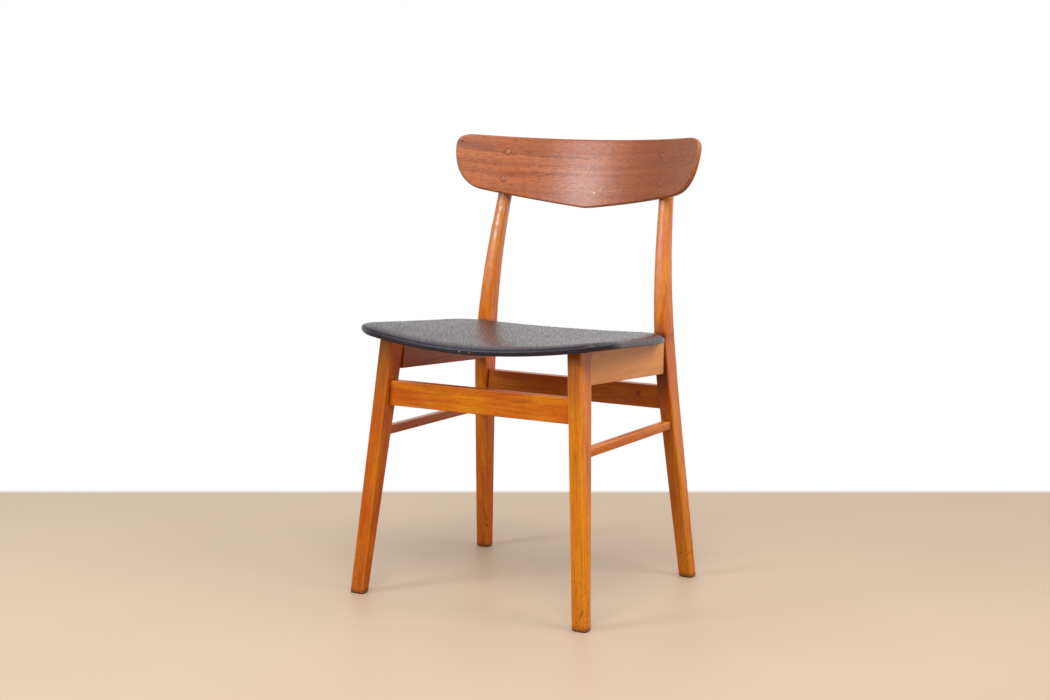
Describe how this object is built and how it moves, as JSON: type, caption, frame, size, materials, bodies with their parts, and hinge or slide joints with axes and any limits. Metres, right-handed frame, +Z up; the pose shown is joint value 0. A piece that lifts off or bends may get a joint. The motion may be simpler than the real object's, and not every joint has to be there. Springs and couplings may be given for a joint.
{
  "type": "dining chair",
  "caption": "Dining chair with splayed stained wood legs, a curved plywood back with a shallow V-shaped lower edge, and a dished padded seat in black vinyl.",
  "frame": {"origin": "centre of the bounding box's underside, on the floor under the middle of the chair", "axes": "+Z up; the sitter faces -Y, so +Y is the rear; +X is to the right as seen from the front. Left and right in the piece names are as seen from the front"},
  "size_m": [0.4988, 0.4388, 0.7792],
  "materials": {
    "teak": "satin lacquered teak veneer on moulded plywood",
    "beech": "semi-gloss lacquered beech, honey-orange stain",
    "dowelWood": "plain unstained beech",
    "plywood": "raw moulded beech plywood",
    "foam": "cut upholstery foam",
    "vinyl": "black grained vinyl with a soft grey sheen",
    "steel": "bright zinc-plated steel screws"
  },
  "bodies": {
    "root": {"seat_rail_left_front_dowel_upper": "dowelWood", "seat_rail_left_front_dowel_lower": "dowelWood", "seat_rail_left_rear_dowel_upper": "dowelWood", "seat_rail_left_rear_dowel_lower": "dowelWood", "seat_rail_right_front_dowel_upper": "dowelWood", "seat_rail_right_front_dowel_lower": "dowelWood", "seat_rail_right_rear_dowel_upper": "dowelWood", "seat_rail_right_rear_dowel_lower": "dowelWood", "front_stretcher_left_dowel_upper": "dowelWood", "front_stretcher_left_dowel_lower": "dowelWood", "front_stretcher_right_dowel_upper": "dowelWood", "front_stretcher_right_dowel_lower": "dowelWood", "rear_stretcher_left_dowel_upper": "dowelWood", "rear_stretcher_left_dowel_lower": "dowelWood", "rear_stretcher_right_dowel_upper": "dowelWood", "rear_stretcher_right_dowel_lower": "dowelWood", "lower_stretcher_left_front_dowel": "dowelWood", "lower_stretcher_left_rear_dowel": "dowelWood", "lower_stretcher_right_front_dowel": "dowelWood", "lower_stretcher_right_rear_dowel": "dowelWood", "seat_screw_left_front": "steel", "seat_screw_left_rear": "steel", "seat_screw_right_front": "steel", "seat_screw_right_rear": "steel", "backrest_plug_upper_left": "teak", "backrest_screw_upper_left": "steel", "backrest_plug_lower_left": "teak", "backrest_screw_lower_left": "steel", "backrest_plug_upper_right": "teak", "backrest_screw_upper_right": "steel", "backrest_plug_lower_right": "teak", "backrest_screw_lower_right": "steel", "front_leg_left": "beech", "rear_leg_left": "beech", "front_leg_right": "beech", "rear_leg_right": "beech", "seat_rail_left": "beech", "seat_rail_right": "beech", "front_stretcher": "beech", "rear_stretcher": "beech", "lower_stretcher_left": "beech", "lower_stretcher_right": "beech", "seat_shell": "plywood", "seat_pad": "foam", "backrest_panel": "teak", "seat_cover": "vinyl"}
  },
  "joints": []
}
